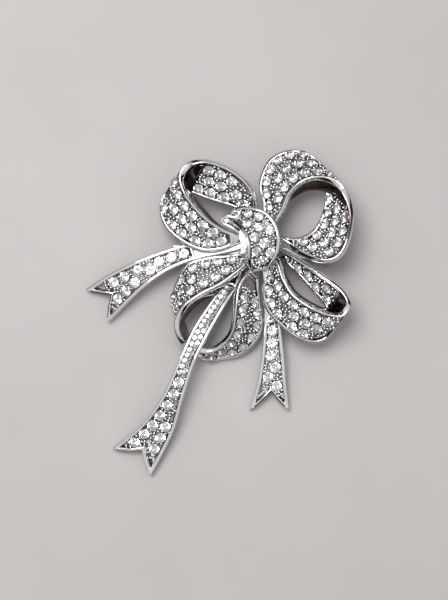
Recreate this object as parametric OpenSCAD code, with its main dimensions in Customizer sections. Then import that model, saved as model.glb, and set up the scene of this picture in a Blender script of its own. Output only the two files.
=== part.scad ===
// Bow brooch. Four ribbon loops, a knot and three forked tails, all with raised polished rims
// and round stones set in the field between them, soldered round one core on a bar pin with a
// turning safety catch. It lies on its back: +Z is out of the front and z = 0 is what it lies on.

/* [Bow] */
// Width of the bow, from the left tail's tip to the right loops
bow_w = 44.4; // [37:0.1:56]
// Height of the bow, from the top of the upper loops to the long tail's tip
bow_h = 54.4; // [45:0.1:68]
// Rise of the knot above the tails' roots
bow_rise = 7.2; // [6.8:0.1:9]

/* [Ribbon] */
// Thickness of the ribbons
ribbon_t = 1.0; // [0.8:0.05:1.25]
// Width of the polished rims
rim_w = 0.55; // [0.4:0.05:0.7]
// Depth of the stone field below the rims
field_depth = 0.35; // [0.2:0.05:0.45]
// Depth of the V cut into the tails' ends
notch_depth = 3;

/* [Stones] */
// Diameter of the stones on the loops, the knot and the tails
stone_d = 1.75; // [1.3:0.05:2]
// Diameter of the fine stones on the knot's fold and on the narrow part of the long tail
fine_stone_d = 0.8;
// Smallest gap between two stones, filled by the grains of metal that hold them
stone_gap = 0.3; // [0.15:0.05:0.8]
// Gap between a stone and the foot of a rim
rim_gap = 0.1; // [0.05:0.05:0.3]
// Height of a stone above its flat foot, as a share of its diameter
stone_height = 0.42; // [0.35:0.01:0.5]
// Thickness of the cement under a stone
cement_t = 0.06;

/* [Core] */
// Diameter of the core that the ribbons' roots are soldered to
core_d = 5.2; // [4.4:0.1:6]

/* [Bar pin] */
// Length of the bar, between the hinge's axis and the catch's middle
bar_span = 24;
// Width of the bar
bar_w = 1.8;
// Thickness of the bar
bar_t = 0.6; // [0.4:0.05:0.9]
// Diameter of the pin stem
stem_d = 0.9; // [0.7:0.05:1.1]
// Length of the stem's ground point
point_len = 4.0; // [2:0.1:5]
// Length of the stem past the catch's middle
stem_past = 2.4; // [2:0.1:3]
// Diameter of the hinge rivet
rivet_d = 0.8; // [0.6:0.05:0.9]
// Outer diameter of the hinge knuckle and of the ears round it
knuckle_d = 2.0; // [1.8:0.05:2.4]
// Width of the knuckle along the rivet
knuckle_w = 1.1; // [0.9:0.05:1.4]
// Thickness of each hinge ear
ear_t = 0.6; // [0.4:0.05:0.8]
// Running clearance of the hinge and of the turning catch, on the radius
run_clear = 0.04; // [0.02:0.01:0.08]
// Clearance between faces that slide past each other
side_clear = 0.08; // [0.05:0.01:0.15]

/* [Catch] */
// Length of the catch's ring along the stem
catch_len = 2.4; // [1.8:0.1:3]
// Wall of the catch's ring
ring_wall = 0.6;
// Wall of the turning sleeve inside the ring
sleeve_wall = 0.45; // [0.35:0.05:0.6]
// Clearance round the stem in the sleeve, on the radius
stem_clear = 0.12; // [0.08:0.01:0.2]
// Reach of the sleeve's thumb tab from the stem's axis
tab_reach = 2.7; // [2.4:0.1:3.2]
// Thickness of the thumb tab
tab_t = 0.6; // [0.4:0.05:0.8]
// Width of the thumb tab along the stem
tab_w = 0.8; // [0.6:0.05:1]

/* [Hidden] */

$fn = 32;
eps = 0.01;

// Colours of the plated metal, the steel pin and the stones
metal_c = "Gainsboro";
steel_c = "Silver";
stone_c = "AliceBlue";

// Size of the bow that the ribbons' points below are drawn at
drawn_w = 44.4;
drawn_h = 54.4;
// Levels of the bar's top, of the tails' roots on it and of the knot's top in those points
seat_level = 4;
root_level = 5;
knot_level = 12.2;

// The stem's axis, the bar and the seat that the bow stands on
sleeve_r = stem_d / 2 + stem_clear + sleeve_wall;
ring_in_r = sleeve_r + run_clear;
ring_r = ring_in_r + ring_wall;
mouth_w = stem_d + 2 * stem_clear;
stem_z = sqrt(ring_r ^ 2 - (mouth_w / 2) ^ 2);
bar_z = stem_z + ring_r;
seat_z = bar_z + bar_t;

// Height of a level, and a point of a ribbon placed in the bow of the chosen size
function height(z) =
    z < seat_level ? z * seat_z / seat_level :
    z < root_level ? seat_z + (z - seat_level) * ribbon_t / (root_level - seat_level) :
    seat_z + ribbon_t + (z - root_level) * bow_rise / (knot_level - root_level);
// What lies within the core keeps its distance from the core's axis, so that it stays joined
core_drawn = [5.9, 12.1];
core_at = [core_drawn.x * bow_w / drawn_w, core_drawn.y * bow_h / drawn_h];
function place(p) =
    norm([p.x, p.y] - core_drawn) < core_d / 2
        ? [core_at.x + p.x - core_drawn.x, core_at.y + p.y - core_drawn.y, height(p.z)]
        : [p.x * bow_w / drawn_w, p.y * bow_h / drawn_h, height(p.z)];

// Ribbons. Each is [front rail, back rail, side]: the rails run from root to root, or from root
// to tip, and side is 1 where the outer face is to the left of the rails' run, -1 on the right.
knot = [
    [[1.6, 16.1, 7.8], [3.0, 17.1, 9.0], [5.2, 17.0, 10.0], [7.6, 16.2, 10.6], [9.3, 14.3, 11.0],
     [10.1, 11.7, 11.0], [9.8, 9.3, 10.6], [9.0, 7.6, 9.9], [8.0, 6.5, 9.0]],
    [[1.2, 15.3, 8.4], [2.0, 14.4, 9.8], [3.1, 13.4, 11.0], [3.9, 12.3, 11.8], [4.4, 11.1, 12.2],
     [4.6, 9.8, 12.2], [4.6, 8.4, 11.6], [4.7, 7.2, 10.7], [5.0, 6.2, 9.6]], 1];
fold = [
    [[0.3, 15.2, 9.0], [1.4, 15.7, 9.3], [2.6, 15.2, 9.4], [3.8, 14.1, 9.3]],
    [[0.3, 14.2, 8.8], [1.2, 13.5, 9.0], [2.3, 13.0, 9.1], [3.4, 12.2, 9.0]], 1];
upper_left = [
    [[3.5, 12.3, 7.4], [0.4, 13.5, 8.2], [-2.1, 15.1, 9.2], [-4.2, 17.1, 9.6], [-5.9, 19.6, 9.8],
     [-6.5, 22.2, 9.8], [-5.1, 24.4, 9.8], [-2.1, 24.9, 9.6], [1.4, 23.8, 9.2], [4.3, 21.8, 8.4],
     [5.9, 19.4, 7.2], [6.4, 17.0, 6.4], [6.1, 14.4, 6.4]],
    [[3.5, 11.2, 6.8], [0.4, 9.9, 6.8], [-2.9, 9.7, 6.6], [-6.4, 11.3, 6.1], [-9.2, 14.0, 5.8],
     [-10.0, 17.8, 5.6], [-7.7, 20.9, 5.4], [-4.9, 20.0, 5.3], [-2.0, 18.9, 5.3], [1.0, 18.0, 5.3],
     [3.4, 16.9, 5.3], [4.7, 15.6, 5.3], [5.2, 14.2, 5.4]], -1];
upper_right = [
    [[8.0, 13.2, 7.8], [10.2, 16.0, 8.4], [11.6, 19.2, 9.2], [14.2, 21.4, 9.8], [17.6, 21.8, 9.8],
     [20.7, 20.1, 9.8], [22.2, 16.1, 9.8], [21.7, 11.5, 9.8], [19.9, 8.3, 9.6], [16.9, 7.5, 9.2],
     [13.3, 8.9, 8.4], [10.5, 10.8, 7.6], [8.3, 11.9, 7.2]],
    [[6.9, 14.3, 6.6], [7.1, 17.7, 6.4], [6.4, 21.3, 5.8], [8.2, 25.4, 5.3], [12.1, 27.0, 5.3],
     [15.9, 25.6, 5.3], [18.0, 21.9, 5.3], [17.8, 17.2, 5.3], [16.1, 13.5, 5.4], [13.5, 11.8, 5.6],
     [11.0, 11.5, 5.8], [9.5, 11.8, 6.0], [8.3, 12.0, 6.1]], -1];
lower_right = [
    [[7.2, 9.9, 7.8], [9.4, 7.8, 8.4], [10.5, 5.0, 9.0], [12.1, 2.4, 9.4], [14.8, 0.4, 9.6],
     [17.9, -0.9, 9.6], [20.5, -1.0, 9.6], [21.8, 0.9, 9.4], [20.4, 3.6, 9.2], [16.6, 6.5, 8.4],
     [13.5, 8.7, 7.0], [10.7, 10.4, 5.8], [8.3, 11.3, 5.6]],
    [[6.8, 9.7, 6.8], [8.1, 7.2, 6.4], [7.0, 4.0, 5.9], [7.3, 0.8, 5.7], [9.3, -1.9, 5.6],
     [12.8, -4.7, 5.5], [16.3, -5.3, 5.4], [18.8, -3.2, 5.3], [18.0, 0.9, 5.3], [15.4, 4.2, 5.3],
     [12.9, 6.8, 5.2], [10.4, 8.9, 5.0], [8.2, 10.2, 5.0]], 1];
lower_left = [
    [[5.6, 9.9, 7.9], [3.9, 7.2, 8.4], [0.4, 4.3, 8.8], [-3.2, 2.4, 9.0], [-6.0, 0.4, 8.8],
     [-7.5, -2.4, 7.8], [-6.7, -5.2, 6.2], [-4.5, -6.6, 4.9], [-1.9, -6.8, 4.4], [0.4, -5.8, 5.0],
     [2.2, -3.3, 6.4], [2.7, 0.3, 7.4], [3.2, 3.8, 7.4], [4.6, 6.6, 6.8], [5.9, 9.6, 6.2]],
    [[4.7, 10.4, 6.8], [2.3, 9.6, 6.3], [-2.1, 9.1, 6.2], [-5.5, 8.0, 6.0], [-7.4, 4.7, 4.6],
     [-7.9, 1.2, 3.2], [-6.3, -2.3, 2.0], [-5.2, -5.6, 1.0], [-2.9, -7.9, 0.4], [0.4, -7.8, 0.9],
     [4.5, -6.7, 1.8], [7.2, -3.2, 3.0], [7.0, 1.1, 4.2], [6.6, 4.7, 5.2], [6.8, 9.6, 5.6]], 1];
left_tail = [
    [[3.6, 10.2, 5.1], [0.0, 9.3, 5.1], [-3.6, 8.6, 5.1], [-8.1, 6.9, 5.1], [-12.2, 4.2, 4.6],
     [-15.8, 1.0, 3.2], [-18.4, -1.6, 1.6]],
    [[3.6, 12.6, 5.1], [0.0, 12.2, 5.1], [-4.4, 11.5, 5.1], [-9.4, 10.1, 5.1], [-14.4, 8.2, 4.6],
     [-18.4, 6.3, 3.2], [-22.2, 4.0, 1.4]], 1];
long_tail = [
    [[5.4, 9.7, 5.1], [3.9, 5.4, 5.4], [1.6, 1.8, 6.2], [-1.4, -3.4, 6.9], [-3.9, -8.4, 6.9],
     [-5.9, -14.4, 5.6], [-7.6, -20.0, 3.6], [-11.3, -27.0, 1.6]],
    [[4.2, 10.1, 5.1], [1.6, 6.3, 5.4], [-1.0, 2.3, 6.2], [-4.4, -3.0, 6.9], [-6.9, -8.6, 6.9],
     [-9.4, -14.0, 5.6], [-13.0, -18.8, 3.6], [-17.7, -22.4, 1.4]], 1];
short_tail = [
    [[8.0, 10.6, 5.1], [9.1, 5.8, 4.9], [10.0, 0.4, 4.1], [10.4, -4.0, 3.8], [10.8, -7.8, 3.5],
     [11.1, -11.8, 2.7], [11.6, -16.0, 1.6]],
    [[6.4, 10.4, 5.1], [7.2, 5.6, 4.9], [7.4, -0.2, 4.1], [7.2, -4.8, 3.8], [6.8, -8.4, 3.5],
     [6.2, -12.0, 2.7], [4.9, -16.0, 1.4]], 1];

// A smooth curve through the points p, at u from 0 to 1
function curve(p, u) =
    let (n = len(p) - 1, i = max(0, min(floor(u * n), n - 1)), t = u * n - i,
         a = p[max(i - 1, 0)], b = p[i], c = p[i + 1], d = p[min(i + 2, n)])
    place(0.5 * (2 * b + (c - a) * t + (2 * a - 5 * b + 4 * c - d) * t ^ 2
                 + (3 * b - a - 3 * c + d) * t ^ 3));
function unit(v) = v / norm(v);
function across(r, u) = curve(r[0], u) - curve(r[1], u);
// The point of a ribbon's outer face at u, a share v of the way from the back rail to the front
function on_face(r, u, v) = curve(r[1], u) + across(r, u) * v;
function run(r, u, v) = (on_face(r, u + 0.005, v) - on_face(r, u - 0.005, v)) / 0.01;
function facing(r, u, v = 0.5) = r[2] * unit(cross(run(r, u, v), across(r, u)));
// Length of ribbon per unit of u, at a depth below the outer face
function sunk(r, u, v, depth) = on_face(r, u, v) - facing(r, u, v) * depth;
function pace(r, u, v = 0.5, depth = 0) =
    norm(sunk(r, u + 0.005, v, depth) - sunk(r, u - 0.005, v, depth)) / 0.01;

// Share of a field's depth at u: the field fills the range f and runs out over fade
fade = 0.01;
function filled(f, u) = max(0, min(1, (u - f[0]) / fade, (f[1] - u) / fade));
// The end of a tail's field, a rim's width from the V cut, and of its stones
function field_end(r) = 1 - 1.3 * rim_w / end_pace(r);
function stones_end(r) = field_end(r) - fade - (0.44 * stone_d + 0.1) / end_pace(r);

// How far the V cut draws the middle of the ribbon back at u, most at its end
function cut(r, u, notch) = max(0, 2 * u - 1) ^ 1.5 * notch / end_pace(r);
function end_pace(r) = norm(on_face(r, 1, 0.5) - on_face(r, 0.9, 0.5)) / 0.1;
// The section of a ribbon at u, from the back rail round to it again
function section(r, u, outer, inner, notch) =
    let (last = cut(r, u, notch),
         rim = min(0.28, rim_w / norm(across(r, u))), edge = 1.25 * rim, side = (0.5 + edge) / 2,
         low = -field_depth * filled(outer, u), high = field_depth * filled(inner, u) - ribbon_t,
         s = [[0, 0], [rim, 0], [edge, low], [side, low], [0.5, low], [1 - side, low],
              [1 - edge, low], [1 - rim, 0], [1, 0], [1, -ribbon_t], [1 - rim, -ribbon_t],
              [1 - edge, high], [1 - side, high], [0.5, high], [side, high], [edge, high],
              [rim, -ribbon_t], [0, -ribbon_t]])
    [for (q = s)
        let (at = u - last * (1 - abs(2 * q[0] - 1)))
        on_face(r, at, q[0]) + facing(r, at, q[0]) * q[1]];

function sorted(a) =
    len(a) < 2 ? a :
    let (m = a[floor(len(a) / 2)])
    concat(sorted([for (x = a) if (x < m) x]), [m], sorted([for (x = a) if (x > m) x]));

// A ribbon as one closed solid with n rings, and two more where a field starts or ends
module ribbon(r, n, outer, inner = [2, 2], notch = 0) {
    ends_at = [for (f = [outer, inner]) each [f[0], f[0] + fade, f[1] - fade, f[1]]];
    extra = [for (e = ends_at) if (e < 1) e];
    // The even steps, but those that lie close to an extra ring
    steps = [for (i = [0 : n]) if (i == 0 || i == n || min([for (e = extra) abs(e - i / n)]) > 0.3 / n)
        i / n];
    rings = [for (u = sorted(concat(steps, extra))) section(r, u, outer, inner, notch)];
    m = len(rings[0]);
    last = len(rings) - 1;
    sides = [for (i = [0 : last - 1]) for (j = [0 : m - 1])
        let (a = i * m + j, b = i * m + (j + 1) % m) each [[a, b, b + m], [a, b + m, a + m]]];
    // Each end is closed between the outer and the inner face
    ends = [for (j = [0 : m / 2 - 2])
        let (a = j, b = m - 1 - j, c = m - 2 - j, d = j + 1, o = last * m)
        each [[a, b, c], [a, c, d], [o + d, o + c, o + a], [o + c, o + b, o + a]]];
    faces = concat(sides, ends);
    polyhedron([for (g = rings) each g],
               r[2] > 0 ? faces : [for (f = faces) [f[2], f[1], f[0]]]);
}

// Offsets that a stone of diameter d may take at u, as shares of the ribbon's width from its
// middle: both edges, then the middle, and the quarters where three fit side by side
function offsets(r, u, d) =
    let (w = norm(across(r, u)), room = max(0, w / 2 - rim_w - rim_gap - d * 0.55))
    [for (k = room > spacing(d) ? [-1, 1, 0, -0.5, 0.5] : [-1, 1, 0]) k * room / w];
function spacing(d) = d * (1 + stone_gap / stone_d);
// The last u that a stone may take at v, which the V cut draws back by up to last
function limit(v, b, last) = b - last * (1 - abs(2 * v - 1));
// Adds to got the stones [u, v, middle] that fit at u, none nearer to another than the spacing
function added(r, u, b, d, depth, last, got, o, i = 0) =
    i == len(o) ? got :
    let (v = 0.5 + o[i], p = sunk(r, u, v, depth),
         near = min([2 * d, for (k = [max(0, len(got) - 9) : 1 : len(got) - 1])
                     norm(got[k][2] - p)]),
         fits = near >= spacing(d) && u <= limit(v, b, last))
    added(r, u, b, d, depth, last, fits ? concat(got, [[u, v, p]]) : got, o, i + 1);
function places(r, u, b, d, depth, last, got = []) =
    u > b ? got :
    places(r, u + 0.003, b, d, depth, last, added(r, u, b, d, depth, last, got, offsets(r, u, d)));

// A round stone with a flat table and a flat foot, of diameter d
foot_share = 0.26;
table_share = 0.28;
// How far the floor under a stone's foot rises above its middle, where a ribbon is hollow
function floor_rise(r, u, v, foot, depth, n) =
    max([for (a = [0 : 45 : 359])
        (sunk(r, u + foot * cos(a) / pace(r, u, v), v + foot * sin(a) / norm(across(r, u)), depth)
         - sunk(r, u, v, depth)) * n]);
module stone(d) {
    h = stone_height * d;
    rotate_extrude($fn = 24)
        polygon([[0, 0], [foot_share * d, 0], [d / 2, 0.5 * h], [d / 2, 0.58 * h],
                 [table_share * d, h], [0, h]]);
}

// Stones on the outer face (face = 1) or the inner face (face = -1) of a ribbon
module stones(r, a, b, face = 1, d = stone_d, notch = 0) {
    floor_depth = face > 0 ? field_depth : ribbon_t - field_depth;
    girdle = cement_t + stone_height * d / 2;
    for (q = places(r, a, b, d, floor_depth - face * girdle, cut(r, b, notch))) {
        out = facing(r, q[0], q[1]);
        n = out * face;
        rise = floor_rise(r, q[0], q[1], 1.1 * foot_share * d, floor_depth, n);
        x = unit(cross(across(r, q[0]), n));
        y = cross(n, x);
        p = sunk(r, q[0], q[1], floor_depth) + n * (cement_t + max(0, rise));
        multmatrix([[x.x, y.x, n.x, p.x], [x.y, y.y, n.y, p.y], [x.z, y.z, n.z, p.z],
                    [0, 0, 0, 1]])
            stone(d);
    }
}

module knot_band() color(metal_c) ribbon(knot, 22, [0.1, 0.97]);
module knot_fold() color(metal_c) ribbon(fold, 10, [0.15, 0.95]);
module loop_upper_left() color(metal_c) ribbon(upper_left, 52, [0.05, 0.45], [0.58, 0.88]);
module loop_upper_right() color(metal_c) ribbon(upper_right, 56, [0.05, 0.43], [0.5, 0.88]);
module loop_lower_right() color(metal_c) ribbon(lower_right, 52, [0.1, 0.53], [0.65, 0.88]);
module loop_lower_left() color(metal_c) ribbon(lower_left, 56, [0.05, 0.93]);
module tail_left() color(metal_c)
    ribbon(left_tail, 26, [0.36, field_end(left_tail)], [2, 2], notch_depth);
module tail_long() color(metal_c)
    ribbon(long_tail, 34, [0.2, field_end(long_tail)], [2, 2], notch_depth);
module tail_short() color(metal_c)
    ribbon(short_tail, 22, [0.4, field_end(short_tail)], [2, 2], notch_depth);

core_top = height(10.2);
module core() color(metal_c)
    translate([core_at.x, core_at.y, seat_z])
    cylinder(d = core_d, h = core_top - seat_z);

// The bar pin: hinge at the left, catch at the right, the stem along X between them
bar_y = 9.8 * bow_h / drawn_h;
hinge_x = core_at.x - 0.52 * bar_span;
catch_x = hinge_x + bar_span;
knuckle_r = knuckle_d / 2;
ear_y = knuckle_w / 2 + side_clear;
shoulder_w = knuckle_w - 0.04;
shoulder_end = knuckle_r + 0.15;

module pin_bar() color(metal_c) {
    bar_l = catch_x + catch_len / 2 - hinge_x + knuckle_r;
    difference() {
        union() {
            translate([hinge_x - knuckle_r, bar_y - bar_w / 2, bar_z]) cube([bar_l, bar_w, bar_t]);
            // The pad that the core stands on
            translate([core_at.x, core_at.y, bar_z]) cylinder(d = core_d, h = bar_t);
            translate([core_at.x - core_d / 2, bar_y, bar_z])
                cube([core_d, core_at.y - bar_y, bar_t]);
            for (s = [-1, 1])
                translate([hinge_x, bar_y + s * (ear_y + ear_t / 2), 0]) {
                    translate([0, ear_t / 2, stem_z]) rotate([90, 0, 0])
                        cylinder(r = knuckle_r, h = ear_t);
                    translate([-knuckle_r, -ear_t / 2, stem_z])
                        cube([knuckle_d, ear_t, bar_z - stem_z + eps]);
                }
        }
        translate([hinge_x, bar_y + bar_w, stem_z]) rotate([90, 0, 0])
            cylinder(d = rivet_d, h = 2 * bar_w);
    }
}

module hinge_rivet() color(steel_c)
    translate([hinge_x, bar_y, stem_z]) rotate([90, 0, 0]) {
        half = ear_y + ear_t;
        translate([0, 0, -half - 0.2]) cylinder(d = rivet_d, h = 2 * half + 0.4);
        for (s = [-1, 1])
            translate([0, 0, s * (half + 0.1) - 0.1]) cylinder(d = 1.6 * rivet_d, h = 0.2);
    }

module pin_stem() color(steel_c)
    translate([hinge_x, bar_y, stem_z]) {
        reach = bar_span + stem_past;
        difference() {
            union() {
                rotate([90, 0, 0]) translate([0, 0, -knuckle_w / 2])
                    cylinder(r = knuckle_r - 0.05, h = knuckle_w);
                // The square shoulder between the eye and the wire
                translate([0, -shoulder_w / 2, -shoulder_w / 2])
                    cube([shoulder_end, shoulder_w, shoulder_w]);
                rotate([0, 90, 0]) cylinder(d = stem_d, h = reach - point_len);
            }
            rotate([90, 0, 0]) translate([0, 0, -knuckle_w])
                cylinder(d = rivet_d + 2 * run_clear, h = 2 * knuckle_w);
        }
        translate([reach - point_len, 0, 0]) rotate([0, 90, 0])
            cylinder(d1 = stem_d, d2 = 0.12, h = point_len);
    }

module catch_ring() color(metal_c)
    translate([catch_x, bar_y, stem_z]) {
        difference() {
            union() {
                rotate([0, 90, 0]) cylinder(r = ring_r, h = catch_len, center = true);
                // The foot that joins the ring to the bar
                translate([-catch_len / 2, -bar_w / 2, 0])
                    cube([catch_len, bar_w, bar_z - stem_z]);
            }
            rotate([0, 90, 0]) cylinder(r = ring_in_r, h = catch_len + 1, center = true);
            translate([-catch_len, -mouth_w / 2, -2 * ring_r])
                cube([2 * catch_len, mouth_w, 2 * ring_r]);
        }
    }

// The sleeve turns in the ring and sticks out past its outer end, where the thumb tab is
module catch_lock() color(steel_c)
    translate([catch_x, bar_y, stem_z]) {
        start = -catch_len / 2;
        sleeve_l = catch_len + side_clear + tab_w;
        difference() {
            union() {
                translate([start, 0, 0]) rotate([0, 90, 0]) cylinder(r = sleeve_r, h = sleeve_l);
                translate([start + sleeve_l - tab_w, 0, -tab_t / 2])
                    cube([tab_w, tab_reach, tab_t]);
            }
            translate([start - 1, 0, 0]) rotate([0, 90, 0])
                cylinder(r = stem_d / 2 + stem_clear, h = sleeve_l + 2);
            translate([start - 1, -mouth_w / 2, -2 * ring_r])
                cube([sleeve_l + 2, mouth_w, 2 * ring_r]);
        }
    }

module stones_knot() color(stone_c) stones(knot, 0.17, 0.92, 1, 0.92 * stone_d);
module stones_fold() color(stone_c) stones(fold, 0.29, 0.5, 1, fine_stone_d);
module stones_upper_left_front() color(stone_c) stones(upper_left, 0.085, 0.42);
module stones_upper_left_return() color(stone_c) stones(upper_left, 0.61, 0.85, -1);
module stones_upper_right_front() color(stone_c) stones(upper_right, 0.09, 0.385);
module stones_upper_right_return() color(stone_c) stones(upper_right, 0.54, 0.85, -1);
module stones_lower_right_front() color(stone_c) stones(lower_right, 0.14, 0.49);
module stones_lower_right_return() color(stone_c) stones(lower_right, 0.68, 0.85, -1);
module stones_lower_left_top() color(stone_c) stones(lower_left, 0.09, 0.33);
module stones_lower_left_bottom() color(stone_c) stones(lower_left, 0.5, 0.88);
module stones_tail_left() color(stone_c)
    stones(left_tail, 0.4, stones_end(left_tail), 1, stone_d, notch_depth);
module stones_tail_long() color(stone_c) {
    stones(long_tail, 0.22, 0.62, 1, fine_stone_d);
    stones(long_tail, 0.655, stones_end(long_tail), 1, stone_d, notch_depth);
}
module stones_tail_short() color(stone_c)
    stones(short_tail, 0.45, stones_end(short_tail), 1, stone_d, notch_depth);

knot_band();
knot_fold();
loop_upper_left();
loop_upper_right();
loop_lower_right();
loop_lower_left();
tail_left();
tail_long();
tail_short();
core();
pin_bar();
hinge_rivet();
catch_ring();
catch_lock();
pin_stem();
stones_knot();
stones_fold();
stones_upper_left_front();
stones_upper_left_return();
stones_upper_right_front();
stones_upper_right_return();
stones_lower_right_front();
stones_lower_right_return();
stones_lower_left_top();
stones_lower_left_bottom();
stones_tail_left();
stones_tail_long();
stones_tail_short();
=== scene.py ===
"""A ribbon bow brooch: the ribbons, stones and bar pin of the CAD frame, finished for looks."""
import math
import random

import bmesh
import bpy
import numpy as np
from mathutils import Matrix, Vector
from mathutils.bvhtree import BVHTree

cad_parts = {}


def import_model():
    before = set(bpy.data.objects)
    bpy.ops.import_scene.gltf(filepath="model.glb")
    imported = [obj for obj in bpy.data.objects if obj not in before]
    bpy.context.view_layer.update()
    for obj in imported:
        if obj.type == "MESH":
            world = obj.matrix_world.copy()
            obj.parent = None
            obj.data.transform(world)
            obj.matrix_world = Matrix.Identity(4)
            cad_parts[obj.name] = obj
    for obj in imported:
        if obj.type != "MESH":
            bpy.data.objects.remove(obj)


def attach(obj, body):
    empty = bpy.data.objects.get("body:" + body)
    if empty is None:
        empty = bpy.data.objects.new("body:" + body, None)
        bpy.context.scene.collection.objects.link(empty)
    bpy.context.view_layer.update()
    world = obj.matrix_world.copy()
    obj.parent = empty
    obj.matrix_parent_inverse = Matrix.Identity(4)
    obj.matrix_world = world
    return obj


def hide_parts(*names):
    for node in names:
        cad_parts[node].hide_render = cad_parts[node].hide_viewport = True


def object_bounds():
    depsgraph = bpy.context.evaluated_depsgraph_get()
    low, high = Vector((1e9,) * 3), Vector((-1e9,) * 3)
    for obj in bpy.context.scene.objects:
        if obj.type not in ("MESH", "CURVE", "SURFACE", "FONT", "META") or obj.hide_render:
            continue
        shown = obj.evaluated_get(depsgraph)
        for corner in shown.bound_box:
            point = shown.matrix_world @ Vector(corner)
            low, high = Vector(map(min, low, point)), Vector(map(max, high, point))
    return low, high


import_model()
cad_low, cad_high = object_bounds()
centre = (cad_low + cad_high) / 2
MM = 0.001

# Each ribbon with the stone nodes set on it
RIBBONS = {
    "knot_band": ["stones_knot"],
    "knot_fold": ["stones_fold"],
    "loop_upper_left": ["stones_upper_left_front", "stones_upper_left_return"],
    "loop_upper_right": ["stones_upper_right_front", "stones_upper_right_return"],
    "loop_lower_right": ["stones_lower_right_front", "stones_lower_right_return"],
    "loop_lower_left": ["stones_lower_left_top", "stones_lower_left_bottom"],
    "tail_left": ["stones_tail_left"],
    "tail_long": ["stones_tail_long"],
    "tail_short": ["stones_tail_short"],
}

# A ribbon's section in the CAD
SECTION = 18                # corners round it
SECOND = SECTION // 2       # the first corner of its second face
CAD_FIELD = 0.35 * MM       # depth of a field

# A ribbon's section as finished here
FIELD_EXTRA = 0.38 * MM     # how far the floor between the stones lies below the CAD field
RIM_EXTRA = 0.13 * MM       # how far the rims reach in over the CAD field
RIM_SHARE = 0.04            # the same, at most, as a share of the face's width
ROUND = (0.26, 0.24, 0.05)  # mm: radii of the edges, the rims' inner edges and a field's foot
ROUND_SHARE = 0.45          # the most of a side that one rounding takes up
CORNER = 4                  # points on a rounded corner
FACE_POINTS = 6 * CORNER + 3            # points across a face: six round corners and three plain
FOOT_NEAR = 2 * CORNER                  # the points where a field's floor begins and ends
FOOT_FAR = FACE_POINTS - 2 * CORNER - 1
STEP = 0.28 * MM            # between sections, close enough for smooth mirror reflections
HAS_FIELD = 0.5             # depth from which a face counts as having a field, from 0 to 1

# Places among a ribbon's materials, after the polished metal's 0: the field's floor, then the
# metal in painted shade; and among a stone's
FIELD, PAINTED_DARK = 1, 2
GLASS, BACK = 0, 1


# ---------------------------------------------------------------- materials

def material(name):
    """A new material with its node tree and shader."""
    m = bpy.data.materials.new(name)
    m.use_nodes = True
    nt = m.node_tree
    bsdf = nt.nodes["Principled BSDF"]
    return m, nt, bsdf


def add(nt, kind, **values):
    """A new node, with its settings or the values on its sockets."""
    n = nt.nodes.new(kind)
    for k, v in values.items():
        if hasattr(n, k):
            setattr(n, k, v)
        else:
            n.inputs[k.replace("_", " ")].default_value = v
    return n


def ramp(nt, source, stops):
    """A colour ramp from a list of places and colours."""
    r = nt.nodes.new("ShaderNodeValToRGB")
    nt.links.new(source, r.inputs[0])
    for end in (0, -1):
        element = r.color_ramp.elements[end]
        element.position, element.color = stops[end]
    for place, colour in stops[1:-1]:
        r.color_ramp.elements.new(place).color = colour
    return r.outputs[0]


def grey(v):
    return (v, v, v, 1)


def noise(nt, at, **values):
    """Noise over the object's own coordinates."""
    n = add(nt, "ShaderNodeTexNoise", **values)
    nt.links.new(at, n.inputs["Vector"])
    return n.outputs["Fac"]


def bump(nt, height, strength, distance):
    b = add(nt, "ShaderNodeBump", Strength=strength, Distance=distance)
    nt.links.new(height, b.inputs["Height"])
    return b


def metal(name):
    """A bare metal, and the object's coordinates to pattern it with."""
    m, nt, bsdf = material(name)
    bsdf.inputs["Metallic"].default_value = 1.0
    return m, nt, bsdf, add(nt, "ShaderNodeTexCoord").outputs["Object"]


def polished(name, colour, low, high, scratch=0.012, stretch=(1, 1, 1)):
    """Plated metal: faint clouding in its roughness, hairline scratches, a wavy cast surface."""
    m, nt, bsdf, at = metal(name)
    clouds = noise(nt, at, Scale=420.0, Detail=5.0, Roughness=0.6)
    rough = ramp(nt, clouds, [(0.35, grey(low)), (0.7, grey(high))])
    nt.links.new(rough, bsdf.inputs["Roughness"])
    tint = ramp(nt, clouds, [(0.3, (*(c * 0.94 for c in colour), 1)), (0.75, (*colour, 1))])
    nt.links.new(tint, bsdf.inputs["Base Color"])
    lines = add(nt, "ShaderNodeMapping")
    lines.inputs["Scale"].default_value = stretch
    nt.links.new(at, lines.inputs["Vector"])
    hair = noise(nt, lines.outputs[0], Scale=2600.0, Detail=3.0)
    waves = noise(nt, at, Scale=190.0, Detail=1.0)
    fine = bump(nt, hair, scratch * 10, 0.02 * MM)
    broad = bump(nt, waves, 0.12, 0.12 * MM)
    nt.links.new(broad.outputs[0], fine.inputs["Normal"])
    nt.links.new(fine.outputs[0], bsdf.inputs["Normal"])
    return m


def field_metal():
    """The floor between the stones: the same plate, darker and duller, out of polish's reach."""
    m, nt, bsdf, at = metal("pave_floor")
    grit = noise(nt, at, Scale=1500.0, Detail=4.0)
    tone = ramp(nt, grit, [(0.3, (0.20, 0.185, 0.175, 1)), (0.7, (0.70, 0.68, 0.665, 1))])
    rough = ramp(nt, grit, [(0.3, grey(0.5)), (0.7, grey(0.28))])
    nt.links.new(tone, bsdf.inputs["Base Color"])
    nt.links.new(rough, bsdf.inputs["Roughness"])
    nt.links.new(bump(nt, grit, 0.6, 0.05 * MM).outputs[0], bsdf.inputs["Normal"])
    return m


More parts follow.
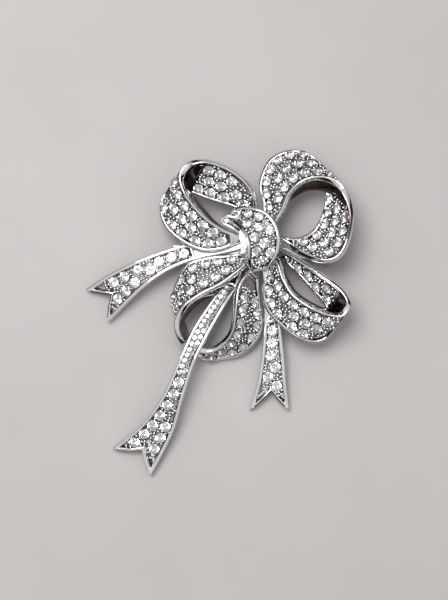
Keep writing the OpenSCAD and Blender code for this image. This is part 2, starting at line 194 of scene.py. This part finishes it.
def crystal():
    """Clear lead glass, with the slightest wipe marks in its gloss."""
    m, nt, bsdf = material("crystal")
    bsdf.inputs["Base Color"].default_value = (0.99, 0.995, 1.0, 1)
    bsdf.inputs["Transmission Weight"].default_value = 1.0
    bsdf.inputs["IOR"].default_value = 1.62
    at = add(nt, "ShaderNodeTexCoord").outputs["Object"]
    marks = noise(nt, at, Scale=900.0, Detail=2.0)
    rough = ramp(nt, marks, [(0.4, grey(0.0)), (0.8, grey(0.03))])
    nt.links.new(rough, bsdf.inputs["Roughness"])
    return m


def foil():
    """The silvered back of a stone, seen through it."""
    m, nt, bsdf, at = metal("foil")
    tone = ramp(nt, noise(nt, at, Scale=700.0, Detail=2.0),
                [(0.35, (0.74, 0.74, 0.76, 1)), (0.65, (0.95, 0.95, 0.97, 1))])
    nt.links.new(tone, bsdf.inputs["Base Color"])
    bsdf.inputs["Roughness"].default_value = 0.02
    return m


def painted_shade_plate():
    """Painted shade with a faint painted reddish-brown reflection, for the hollow side of a loop
    and the walls in its shade: dark, glossy, mottled metal.
    """
    m, nt, bsdf, at = metal("loop_inside_painted_shade")
    shade_mottle = noise(nt, at, Scale=330.0, Detail=3.0, Distortion=0.4)
    # Painted shade: the metal's colour is made dark and warm brown, mottled
    tone = ramp(nt, shade_mottle, [(0.30, (0.085, 0.060, 0.056, 1)), (0.55, (0.15, 0.125, 0.12, 1)),
                            (0.80, (0.30, 0.27, 0.26, 1))])
    rough = ramp(nt, shade_mottle, [(0.3, grey(0.05)), (0.7, grey(0.16))])
    nt.links.new(tone, bsdf.inputs["Base Color"])
    nt.links.new(rough, bsdf.inputs["Roughness"])
    nt.links.new(bump(nt, shade_mottle, 0.2, 0.1 * MM).outputs[0], bsdf.inputs["Normal"])
    return m


RHODIUM = polished("rhodium", (0.90, 0.90, 0.905), 0.05, 0.11)
BEADS = polished("bead_metal", (0.90, 0.90, 0.90), 0.10, 0.18)
FLOOR_METAL = field_metal()
# The metal in painted shade, for the hollow sides and the walls in shade
PAINTED_SHADE_METAL = painted_shade_plate()
FINDING = polished("finding_plate", (0.80, 0.80, 0.81), 0.16, 0.30, 0.03)
STEEL = polished("pin_wire", (0.72, 0.73, 0.74), 0.14, 0.26, 0.05, (0.06, 1, 1))
LOCK = polished("lock_plate", (0.84, 0.84, 0.85), 0.08, 0.2, 0.03)
CRYSTAL, FOIL = crystal(), foil()


# ---------------------------------------------------------------- ribbons

def welded(node):
    """A CAD node's mesh with its faces joined up again."""
    bm = bmesh.new()
    bm.from_mesh(bpy.data.objects[node].data)
    bmesh.ops.remove_doubles(bm, verts=bm.verts, dist=1e-7)
    bm.verts.ensure_lookup_table()
    return bm


def spokes(v):
    """The neighbours of a vertex in order round it, or None where the surface isn't closed."""
    e = v.link_edges[0]
    face, out = e.link_faces[0], []
    for _ in v.link_edges:
        out.append(e.other_vert(v))
        e = next(x for x in face.edges if x != e and v in x.verts)
        face = next((f for f in e.link_faces if f != face), None)
        if face is None:
            return None
    return out


def straight(a, b):
    """From a through b and on across regular vertices, until back at a or at an odd one."""
    line = [a, b]
    while len(line) <= SECTION + 1:
        s = spokes(line[-1])
        if s is None or len(s) != 6:
            return None
        c = s[(s.index(line[-2]) + 3) % 6]
        if c == a:
            return line
        line.append(c)
    return None


def march(bm, ring, seen):
    """The sections that follow a ring on its side away from the vertices already seen."""
    out = []
    while True:
        ahead = []
        for a, b in zip(ring, ring[1:] + ring[:1]):
            tips = [v for f in bm.edges.get((a, b)).link_faces for v in f.verts
                    if v not in (a, b) and v not in seen and v not in ring]
            ahead.append(tips[0] if tips else None)
        closed = all(a and b and bm.edges.get((a, b))
                     for a, b in zip(ahead, ahead[1:] + ahead[:1]))
        if not closed or len(set(ahead)) != SECTION:
            return out
        seen.update(ring)
        # A section's corners keep their order, so the turn that fits best is the right one
        turns = [ahead[k:] + ahead[:k] for k in range(SECTION)]
        ring = min(turns, key=lambda t: sum((p.co - q.co).length_squared
                                            for p, q in zip(t, ring)))
        out.append(ring)


def rings_of(bm):
    """The sections of a ribbon's CAD mesh, in order along it, found from how it is joined up."""
    for v in bm.verts:
        around = spokes(v)
        if around is None or len(around) != 6:
            continue
        for n in around[:3]:
            first = straight(v, n)
            if not first or len(first) != SECTION:
                continue
            forward = march(bm, first, set())
            if not forward:
                continue
            backward = march(bm, first, set(forward[0]))
            rings = backward[::-1] + [first] + forward
            if len(rings) * SECTION == len(bm.verts):
                return [[w.co.copy() for w in r] for r in rings]
    raise ValueError("no sections found")


def aligned(rings):
    """Turns every ring so that its two faces begin at corners 0 and 9, each with an edge wall
    before it. The edge walls are known by their length, which hardly changes."""
    thick = []
    for k in range(SECOND):
        lengths = [(r[(k - 1) % SECTION] - r[k]).length for r in rings]
        lengths += [(r[k + SECOND - 1] - r[k + SECOND]).length for r in rings]
        mean = sum(lengths) / len(lengths)
        thick.append((max(abs(x - mean) for x in lengths), k))
    k = min(thick)[1]
    return [r[k:] + r[:k] for r in rings]


def rounded(points, radii):
    """A closed outline with its corners turned into short curves, but for those of radius 0."""
    shares = [k / (CORNER - 1) for k in range(CORNER)]
    out = []
    for i, (p, r) in enumerate(zip(points, radii)):
        before, after = points[i - 1] - p, points[(i + 1) % len(points)] - p
        if r == 0:
            out.append(p)
            continue
        a = p + before * min(r * MM / max(before.length, 1e-9), ROUND_SHARE)
        b = p + after * min(r * MM / max(after.length, 1e-9), ROUND_SHARE)
        out += [a.lerp(p, t).lerp(p.lerp(b, t), t) for t in shares]
    return out


def half_profile():
    """Radii of the nine corners of a ribbon's face, from edge to edge."""
    edge, rim, foot = ROUND
    return [edge, rim, foot, 0, 0, 0, foot, rim, edge]


def fine_section(ring):
    """A ribbon's section with its fields cut to full depth and its corners rounded, and how
    deep each face's field is here, from 0 to 1."""
    pts, sunk = list(ring), []
    for b in (0, SECOND):
        near, far = ring[b], ring[b + 8]
        width = (far - near).length
        inward = (far - near).normalized() * min(RIM_EXTRA, RIM_SHARE * width)
        for k, way in ((1, 1), (2, 1), (6, -1), (7, -1)):
            pts[b + k] = pts[b + k] + inward * way
        into_near, into_far = ring[b - 1] - near, ring[(b + 9) % SECTION] - far
        down = (into_near.normalized() + into_far.normalized()).normalized()
        depth = (ring[b + 4] - near.lerp(far, 0.5)).dot(down) / CAD_FIELD
        # Less than a tenth is the face's own curve, not a field
        sunk.append(min(1.0, depth) if depth > 0.1 else 0.0)
        for k in range(2, 7):
            into = into_near.lerp(into_far, (ring[b + k] - near).length / width).normalized()
            pts[b + k] = pts[b + k] + into * FIELD_EXTRA * sunk[-1]
    return rounded(pts, half_profile() * 2), sunk


def hermite(p, h, i, t):
    """A smooth curve through points p, h apart, at a share t of the way from i to i + 1."""
    def slope(k):
        if k == 0:
            return (p[1] - p[0]) / h[0]
        if k == len(p) - 1:
            return (p[-1] - p[-2]) / h[-1]
        before, after = (p[k] - p[k - 1]) / h[k - 1], (p[k + 1] - p[k]) / h[k]
        return (before * h[k] + after * h[k - 1]) / (h[k - 1] + h[k])
    a, b = slope(i) * h[i], slope(i + 1) * h[i]
    return (p[i] * (2 * t ** 3 - 3 * t ** 2 + 1) + a * (t ** 3 - 2 * t ** 2 + t)
            + p[i + 1] * (3 * t ** 2 - 2 * t ** 3) + b * (t ** 3 - t ** 2))


def fine_rings(rings):
    """Finished sections, STEP apart, with each field's depth there."""
    made = [fine_section(r) for r in rings]
    h = [sum((a - b).length for a, b in zip(p, q)) / SECTION for p, q in zip(rings, rings[1:])]
    columns = list(zip(*(m[0] for m in made)))
    out, fields = [], []
    for i in range(len(rings) - 1):
        n = max(1, math.ceil(h[i] / STEP))
        last = i == len(rings) - 2
        for k in range(n + last):
            t = k / n
            out.append([hermite(c, h, i, t) for c in columns])
            fields.append([a + (b - a) * t for a, b in zip(made[i][1], made[i + 1][1])])
    return out, fields


def new_object(name, bm, materials):
    """An object from a bmesh, which is used up."""
    me = bpy.data.meshes.new(name)
    bm.to_mesh(me)
    bm.free()
    for m in materials:
        me.materials.append(m)
    ob = bpy.data.objects.new(name, me)
    bpy.context.scene.collection.objects.link(ob)
    return ob


def finish_piece(ob, body, slot, *nodes):
    """Hangs a piece on its body's empty and hides the CAD nodes it stands for. The slot, its
    finish, is not used.
    """
    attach(ob, body)
    if nodes:
        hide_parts(*nodes)


# Each loop: where the painted shade on its hollow side ends if no field ends it, then where the
# wall under its front rim begins and ends, as shares of the loop, and that wall's width and
# height in mm
LOOPS = {
    "upper_left": (1.0, 0.06, 0.52, 0.75, 2.6),
    "upper_right": (1.0, 0.14, 0.60, 1.35, 3.0),
    "lower_right": (1.0, 0.10, 0.56, 0.5, 2.2),
    "lower_left": (0.62, 0.14, 0.42, 0.6, 2.0),
}
WALL_ROWS = 60              # sections along the wall under a front rim
WALL_T = 0.2 * MM           # its thickness
WALL_ROOT = 0.14 * MM       # how far its root lies under the rim


def hollow_side(fields, dark_end):
    """Which face of a loop looks towards its middle, and how many sections of it get painted
    shade.
    """
    first = [next((i for i, f in enumerate(fields) if f[face] > HAS_FIELD), len(fields))
             for face in (0, 1)]
    inner = 0 if first[0] > first[1] else 1
    return inner, min(first[inner], int(dark_end * len(fields)))


def turned_in_wall(bm, cad, inner, begin, end, width, height):
    """A thin wall that hangs under a loop's front rim, leaning in towards the loop's middle, all
    of it in painted shade.
    """
    corners = (SECOND * inner, SECOND * inner + 8)
    rail = max(corners, key=lambda c: sum(r[c].z for r in cad))
    line = [r[rail] for r in cad]
    other = [r[corners[0] + corners[1] - rail] for r in cad]
    middle = sum(line, Vector()) / len(line)
    h = [(a - b).length for a, b in zip(line, line[1:])]
    rows = []
    for q in range(WALL_ROWS + 1):
        u = (begin + (end - begin) * q / WALL_ROWS) * (len(line) - 1)
        i = min(int(u), len(line) - 2)
        t = u - i
        p, back = hermite(line, h, i, t), hermite(other, h, i, t)
        ahead = hermite(line, h, i, min(1.0, t + 0.05)) - hermite(line, h, i, max(0.0, t - 0.05))
        side = Vector((-ahead.y, ahead.x, 0)).normalized()
        if side.dot(middle - p) < 0:
            side = -side
        # The wall grows out of the rim at its ends, and bulges a little half way down
        grow = math.sin(math.pi * q / WALL_ROWS) ** 0.6
        out = side * width * MM * grow
        root = p + (back - p).normalized() * WALL_ROOT
        tip = p + out - Vector((0, 0, height * MM)) * (0.25 + 0.75 * grow)
        bulge = root.lerp(tip, 0.5) + out * 0.12
        skin = side * WALL_T
        rows.append([bm.verts.new(v) for v in
                     (root, bulge, tip, tip - skin, bulge - skin, root - skin)])
    n = len(rows[0])
    for a, b in zip(rows, rows[1:]):
        for k in range(n):
            f = bm.faces.new((a[k], a[(k + 1) % n], b[(k + 1) % n], b[k]))
            # Every face of the wall gets the metal in painted shade
            f.material_index = PAINTED_DARK
            # The faces across the tip and the root stay flat, and so do the edges beside them
            f.smooth = k not in (2, 5)
        for k in (0, 2, 3, 5):
            bm.edges.get((a[k], b[k])).smooth = False
    for row in (rows[0], rows[-1]):
        bm.faces.new(row).material_index = PAINTED_DARK


def ribbon_piece(node):
    """The finished ribbon: rounded polished rims and deep fields for the stones. Returns the
    tree for finding its surface, and which faces are the floor of a field."""
    src = welded(node)
    cad = aligned(rings_of(src))
    src.free()
    loop = LOOPS.get(node.removeprefix("loop_"))
    # A loop runs from its upper root to its lower one
    if loop and sum(p.z for p in cad[0]) < sum(p.z for p in cad[-1]):
        cad = cad[::-1]
    rings, fields = fine_rings(cad)
    inner, dark = hollow_side(fields, loop[0]) if loop else (0, 0)
    bm = bmesh.new()
    n = len(rings[0])
    rows = [[bm.verts.new(p) for p in r] for r in rings]
    for i, (lower, upper) in enumerate(zip(rows, rows[1:])):
        for j in range(n):
            k = (j + 1) % n
            f = bm.faces.new((lower[j], lower[k], upper[k], upper[j]))
            f.smooth = True
            face, at = divmod(j, FACE_POINTS)
            within_edges = CORNER - 1 <= at < FACE_POINTS - CORNER
            # The bare hollow side of a loop, from its upper root, gets the metal in painted shade
            if face == inner and i < dark and within_edges:
                f.material_index = PAINTED_DARK
            elif fields[i][face] > HAS_FIELD:
                # The walls down into a field get painted shade: a dark line beside each rim
                if at in (FOOT_NEAR - 1, FOOT_FAR):
                    f.material_index = PAINTED_DARK
                elif FOOT_NEAR <= at < FOOT_FAR:
                    f.material_index = FIELD
    for row in (rows[0], rows[-1]):
        for j in range(FACE_POINTS - 1):
            f = bm.faces.new((row[j], row[j + 1], row[n - 2 - j], row[n - 1 - j]))
            f.smooth = False
        for a, b in zip(row, row[1:] + row[:1]):
            e = bm.edges.get((a, b))
            if e:
                e.smooth = False
    bm.faces.index_update()
    floor_faces = {f.index for f in bm.faces if f.material_index == FIELD}
    tree = BVHTree.FromBMesh(bm)
    if loop:
        turned_in_wall(bm, cad, inner, *loop[1:])
    bmesh.ops.recalc_face_normals(bm, faces=bm.faces)
    ob = new_object(node + "_polished", bm, [RHODIUM, FLOOR_METAL, PAINTED_SHADE_METAL])
    ob.modifiers.new("even_shading", "WEIGHTED_NORMAL").keep_sharp = True
    finish_piece(ob, "bow", "ribbon_metal", node)
    return tree, floor_faces


# ---------------------------------------------------------------- stones

def islands(bm):
    """The points of each separate part of a mesh."""
    left, out = set(bm.verts), []
    for first in bm.verts:
        if first not in left:
            continue
        left.discard(first)
        stack, group = [first], []
        while stack:
            v = stack.pop()
            group.append(v.co.copy())
            for e in v.link_edges:
                w = e.other_vert(v)
                if w in left:
                    left.discard(w)
                    stack.append(w)
        out.append(group)
    return out


def stone_frame(points):
    """Foot's middle, axis towards the table, and diameter of a round CAD stone."""
    p = np.array(points)
    mid = p.mean(axis=0)
    _, _, rows = np.linalg.svd(p - mid)
    axis = rows[2]
    along = (p - mid) @ axis
    out = np.linalg.norm((p - mid) - np.outer(along, axis), axis=1)
    girdle = along[out > 0.98 * out.max()].mean()
    # The girdle lies nearer to the table than to the foot
    if girdle < (along.min() + along.max()) / 2:
        axis, along = -axis, -along
    foot = mid + axis * along.min()
    return Vector(foot), Vector(axis), 2 * float(out.max())


def brilliant(bm, at, d):
    """A round brilliant of diameter d: table and crown of glass, girdle, and a foiled back. Its
    rings' radii and heights above the foot are shares of d."""
    def ring(n, r, z, turn=0.0):
        return [bm.verts.new(at @ Vector((r * d * math.cos(a), r * d * math.sin(a), z * d)))
                for a in (math.tau * (k + turn) / n for k in range(n))]
    table = ring(8, 0.28, 0.42)
    crown = ring(8, 0.40, 0.348, 0.5)
    top, low = ring(16, 0.5, 0.2436), ring(16, 0.5, 0.21)
    pavilion = ring(8, 0.14, -0.113, 0.5)
    culet = bm.verts.new(at @ Vector((0, 0, -0.225 * d)))
    faces = [(tuple(table), GLASS)]
    for k in range(8):
        n, g = (k + 1) % 8, 2 * k
        h = (g + 2) % 16
        faces += [((table[k], crown[k], table[n]), GLASS),
                  ((table[k], crown[k - 1], top[g], crown[k]), GLASS),
                  ((crown[k], top[g], top[g + 1]), GLASS),
                  ((crown[k], top[g + 1], top[h]), GLASS),
                  ((pavilion[k], low[g + 1], low[g]), BACK),
                  ((pavilion[k], low[h], low[g + 1]), BACK),
                  ((culet, pavilion[k], low[g], pavilion[k - 1]), BACK)]
    for k in range(16):
        faces.append(((top[k], low[k], low[(k + 1) % 16], top[(k + 1) % 16]), GLASS))
    for verts, mat in faces:
        bm.faces.new(verts).material_index = mat


# The beads of metal between the stones. A radius or a distance without MM is in bead radii.
GRAIN = 0.26 * MM           # a bead's radius beside a full-size stone
FULL_SIZE = 1.6 * MM        # the diameter of a stone from which the beads have that radius
GRAIN_SIDES = 10
GRAIN_TOP = 0.34 * MM       # a bead's top above the stone's foot
TRIES = 20                  # places tried on each of the two circles round a stone
CIRCLES = (0.75, 2.9)       # how far outside the stone they run
STONE_GAP = 0.6             # the least distance from a bead's middle to a stone
GRAIN_GAP = 1.85            # the least distance between the middles of two beads
NEIGHBOURS = 3.2 * MM       # stones farther off than this don't count
PROBE = 0.42 * MM           # the floor is looked for from here above the stone's foot,
PROBE_REACH = 1.6 * MM      # this far down,
CLEAR_ABOVE = 0.62 * MM     # and with this much room over it


def disc(axis):
    """Two directions at right angles to an axis and to each other."""
    x = axis.orthogonal().normalized()
    return x, axis.cross(x)


def grain(bm, foot, axis, height, r):
    """A bead of metal raised to hold the stones: a dome on a stalk that stands on the floor."""
    x, y = disc(axis)
    n, rows = GRAIN_SIDES, []
    around = [x * math.cos(a) + y * math.sin(a) for a in (math.tau * k / n for k in range(n))]
    # Radius and height of the stalk's foot, the dome's foot and two circles on the dome
    for share, z in ((0.85, -0.05 * MM), (1.0, height - 0.8 * r), (0.86, height - 0.42 * r),
                     (0.5, height - 0.12 * r)):
        rows.append([bm.verts.new(foot + axis * z + way * share * r) for way in around])
    for a, b in zip(rows, rows[1:]):
        for k in range(n):
            bm.faces.new((a[k], a[(k + 1) % n], b[(k + 1) % n], b[k])).smooth = True
    tip = bm.verts.new(foot + axis * height)
    for k in range(n):
        bm.faces.new((rows[-1][k], rows[-1][(k + 1) % n], tip)).smooth = True
    bm.faces.new(rows[0][::-1])


def set_stones(node, rng):
    """The brilliants of one stone node, each turned a little at random in its seat."""
    src = welded(node)
    frames = [stone_frame(g) for g in islands(src)]
    src.free()
    frames.sort(key=lambda f: (round(f[0].x, 5), round(f[0].y, 5), round(f[0].z, 5)))
    bm = bmesh.new()
    for foot, axis, d in frames:
        turn = Matrix.Rotation(rng.uniform(0, math.tau), 4, "Z")
        tilt = Matrix.Rotation(rng.uniform(-0.035, 0.035), 4, "X")
        seat = Matrix.Translation(foot) @ axis.to_track_quat("Z", "Y").to_matrix().to_4x4()
        at = seat @ turn @ tilt
        brilliant(bm, at, d * rng.uniform(0.98, 1.0))
    bmesh.ops.recalc_face_normals(bm, faces=bm.faces)
    finish_piece(new_object(node.replace("stones", "brilliants"), bm, [CRYSTAL, FOIL]),
                 "bow", "stones", node)
    return frames


def set_grains(name, ribbon, frames, rng):
    """Beads of metal in the gaps between a band's stones and their rims, the tightest first."""
    tree, floor_faces = ribbon
    spots = []
    for foot, axis, d in frames:
        x, y = disc(axis)
        r = GRAIN * min(1.0, d / FULL_SIZE)
        start = rng.uniform(0, 1)
        for circle in CIRCLES:
            for k in range(TRIES):
                a = math.tau * (k + start) / TRIES
                p = foot + (x * math.cos(a) + y * math.sin(a)) * (d / 2 + circle * r)
                hit, _, face, dist = tree.ray_cast(p + axis * PROBE, -axis, PROBE_REACH)
                if face not in floor_faces or dist < CLEAR_ABOVE:
                    continue
                gaps = sorted((p - (f + ax * (p - f).dot(ax))).length - dd / 2
                              for f, ax, dd in frames if (f - foot).length < NEIGHBOURS)
                if gaps[0] > STONE_GAP * r:
                    spots.append((sum(gaps[:3]), hit, axis, foot, p, r))
    spots.sort(key=lambda s: s[0])
    bm, taken = bmesh.new(), []
    for _, hit, axis, foot, p, r in spots:
        if any((p - q).length < GRAIN_GAP * r for q in taken):
            continue
        taken.append(p)
        height = (foot - hit).dot(axis) + GRAIN_TOP * rng.uniform(0.85, 1.1)
        grain(bm, hit, axis, height, r * rng.uniform(0.9, 1.08))
    if not taken:
        bm.free()
        return
    finish_piece(new_object(name, bm, [BEADS]), "bow", "ribbon_metal")


for seed, (band, stone_nodes) in enumerate(RIBBONS.items()):
    ribbon = ribbon_piece(band)
    rng = random.Random(1000 + seed)
    for name in stone_nodes:
        frames = set_stones(name, rng)
        set_grains(name.replace("stones", "pave") + "_grains", ribbon, frames, rng)


# ---------------------------------------------------------------- the pin on the back

for name, finish in {"pin_bar": FINDING, "core": FINDING, "catch_ring": FINDING,
                     "hinge_rivet": STEEL, "catch_lock": LOCK, "pin_stem": STEEL}.items():
    for s in bpy.data.objects[name].material_slots:
        s.link = "OBJECT"
        s.material = finish


# ---------------------------------------------------------------- floor, light and camera

AIM = (0.74 * MM, 1.79 * MM, 0.0)       # where the camera looks, from the middle of the CAD box
DISTANCE = 900 * MM
HALF_VIEW = 49.5 * MM                   # half the picture's height at that distance
TILT = math.radians(85)                 # the camera's height over the table's plane


def floor():
    """A pale, matt, faintly mottled table."""
    m, nt, bsdf = material("table_top")
    at = add(nt, "ShaderNodeTexCoord").outputs["Object"]
    tone = ramp(nt, noise(nt, at, Scale=35.0, Detail=4.0),
                [(0.3, (0.530, 0.508, 0.500, 1)), (0.7, (0.562, 0.540, 0.532, 1))])
    nt.links.new(tone, bsdf.inputs["Base Color"])
    bsdf.inputs["Roughness"].default_value = 0.42
    # Clear from below, so that the pin on the back can be looked at
    side = add(nt, "ShaderNodeNewGeometry")
    clear = add(nt, "ShaderNodeBsdfTransparent")
    mix = add(nt, "ShaderNodeMixShader")
    nt.links.new(side.outputs["Backfacing"], mix.inputs[0])
    nt.links.new(bsdf.outputs[0], mix.inputs[1])
    nt.links.new(clear.outputs[0], mix.inputs[2])
    nt.links.new(mix.outputs[0], nt.nodes["Material Output"].inputs["Surface"])
    bm = bmesh.new()
    bmesh.ops.create_grid(bm, x_segments=1, y_segments=1, size=0.6)
    ob = new_object("table", bm, [m])
    ob.location = (centre.x, centre.y, cad_low.z - 0.02 * MM)


def world():
    """A bright tent of light whose dark, faintly red gap draws the black lines in the metal."""
    w = bpy.data.worlds.new("studio")
    w.use_nodes = True
    bpy.context.scene.world = w
    nt = w.node_tree
    sky = nt.nodes["Background"]
    part = add(nt, "ShaderNodeSeparateXYZ")
    nt.links.new(add(nt, "ShaderNodeTexCoord").outputs["Generated"], part.inputs[0])
    up = ramp(nt, part.outputs["Z"], [
        (0.0, (0.11, 0.10, 0.095, 1)),
        (0.06, (0.035, 0.022, 0.020, 1)),
        (0.40, (0.022, 0.014, 0.014, 1)),
        (0.46, (0.50, 0.48, 0.47, 1)),
        (0.64, (0.78, 0.77, 0.765, 1)),
        (1.0, (1.0, 0.995, 1.0, 1)),
    ])
    nt.links.new(up, sky.inputs["Color"])
    sky.inputs["Strength"].default_value = 0.74


def area(name, at, size, power):
    """A soft round lamp, turned towards the object."""
    light = bpy.data.lights.new(name, "AREA")
    light.shape = "DISK"
    light.size = size
    light.energy = power
    ob = bpy.data.objects.new(name, light)
    ob.location = centre + Vector(at)
    ob.rotation_euler = (-Vector(at)).to_track_quat("-Z", "Y").to_euler()
    bpy.context.scene.collection.objects.link(ob)


def camera():
    """The photograph's view: nearly straight down, from a little in front."""
    cam = bpy.data.cameras.new("camera")
    cam.sensor_fit = "VERTICAL"
    cam.lens = cam.sensor_height / 2 * DISTANCE / HALF_VIEW
    ob = bpy.data.objects.new("camera", cam)
    aim = centre + Vector(AIM)
    ob.location = aim + Vector((0, -math.cos(TILT), math.sin(TILT))) * DISTANCE
    ob.rotation_euler = (aim - ob.location).to_track_quat("-Z", "Y").to_euler()
    bpy.context.scene.collection.objects.link(ob)
    bpy.context.scene.camera = ob


floor()
world()
area("key", (-0.11, 0.14, 0.58), 0.30, 1.85)
camera()
bpy.context.scene.view_settings.view_transform = "Standard"
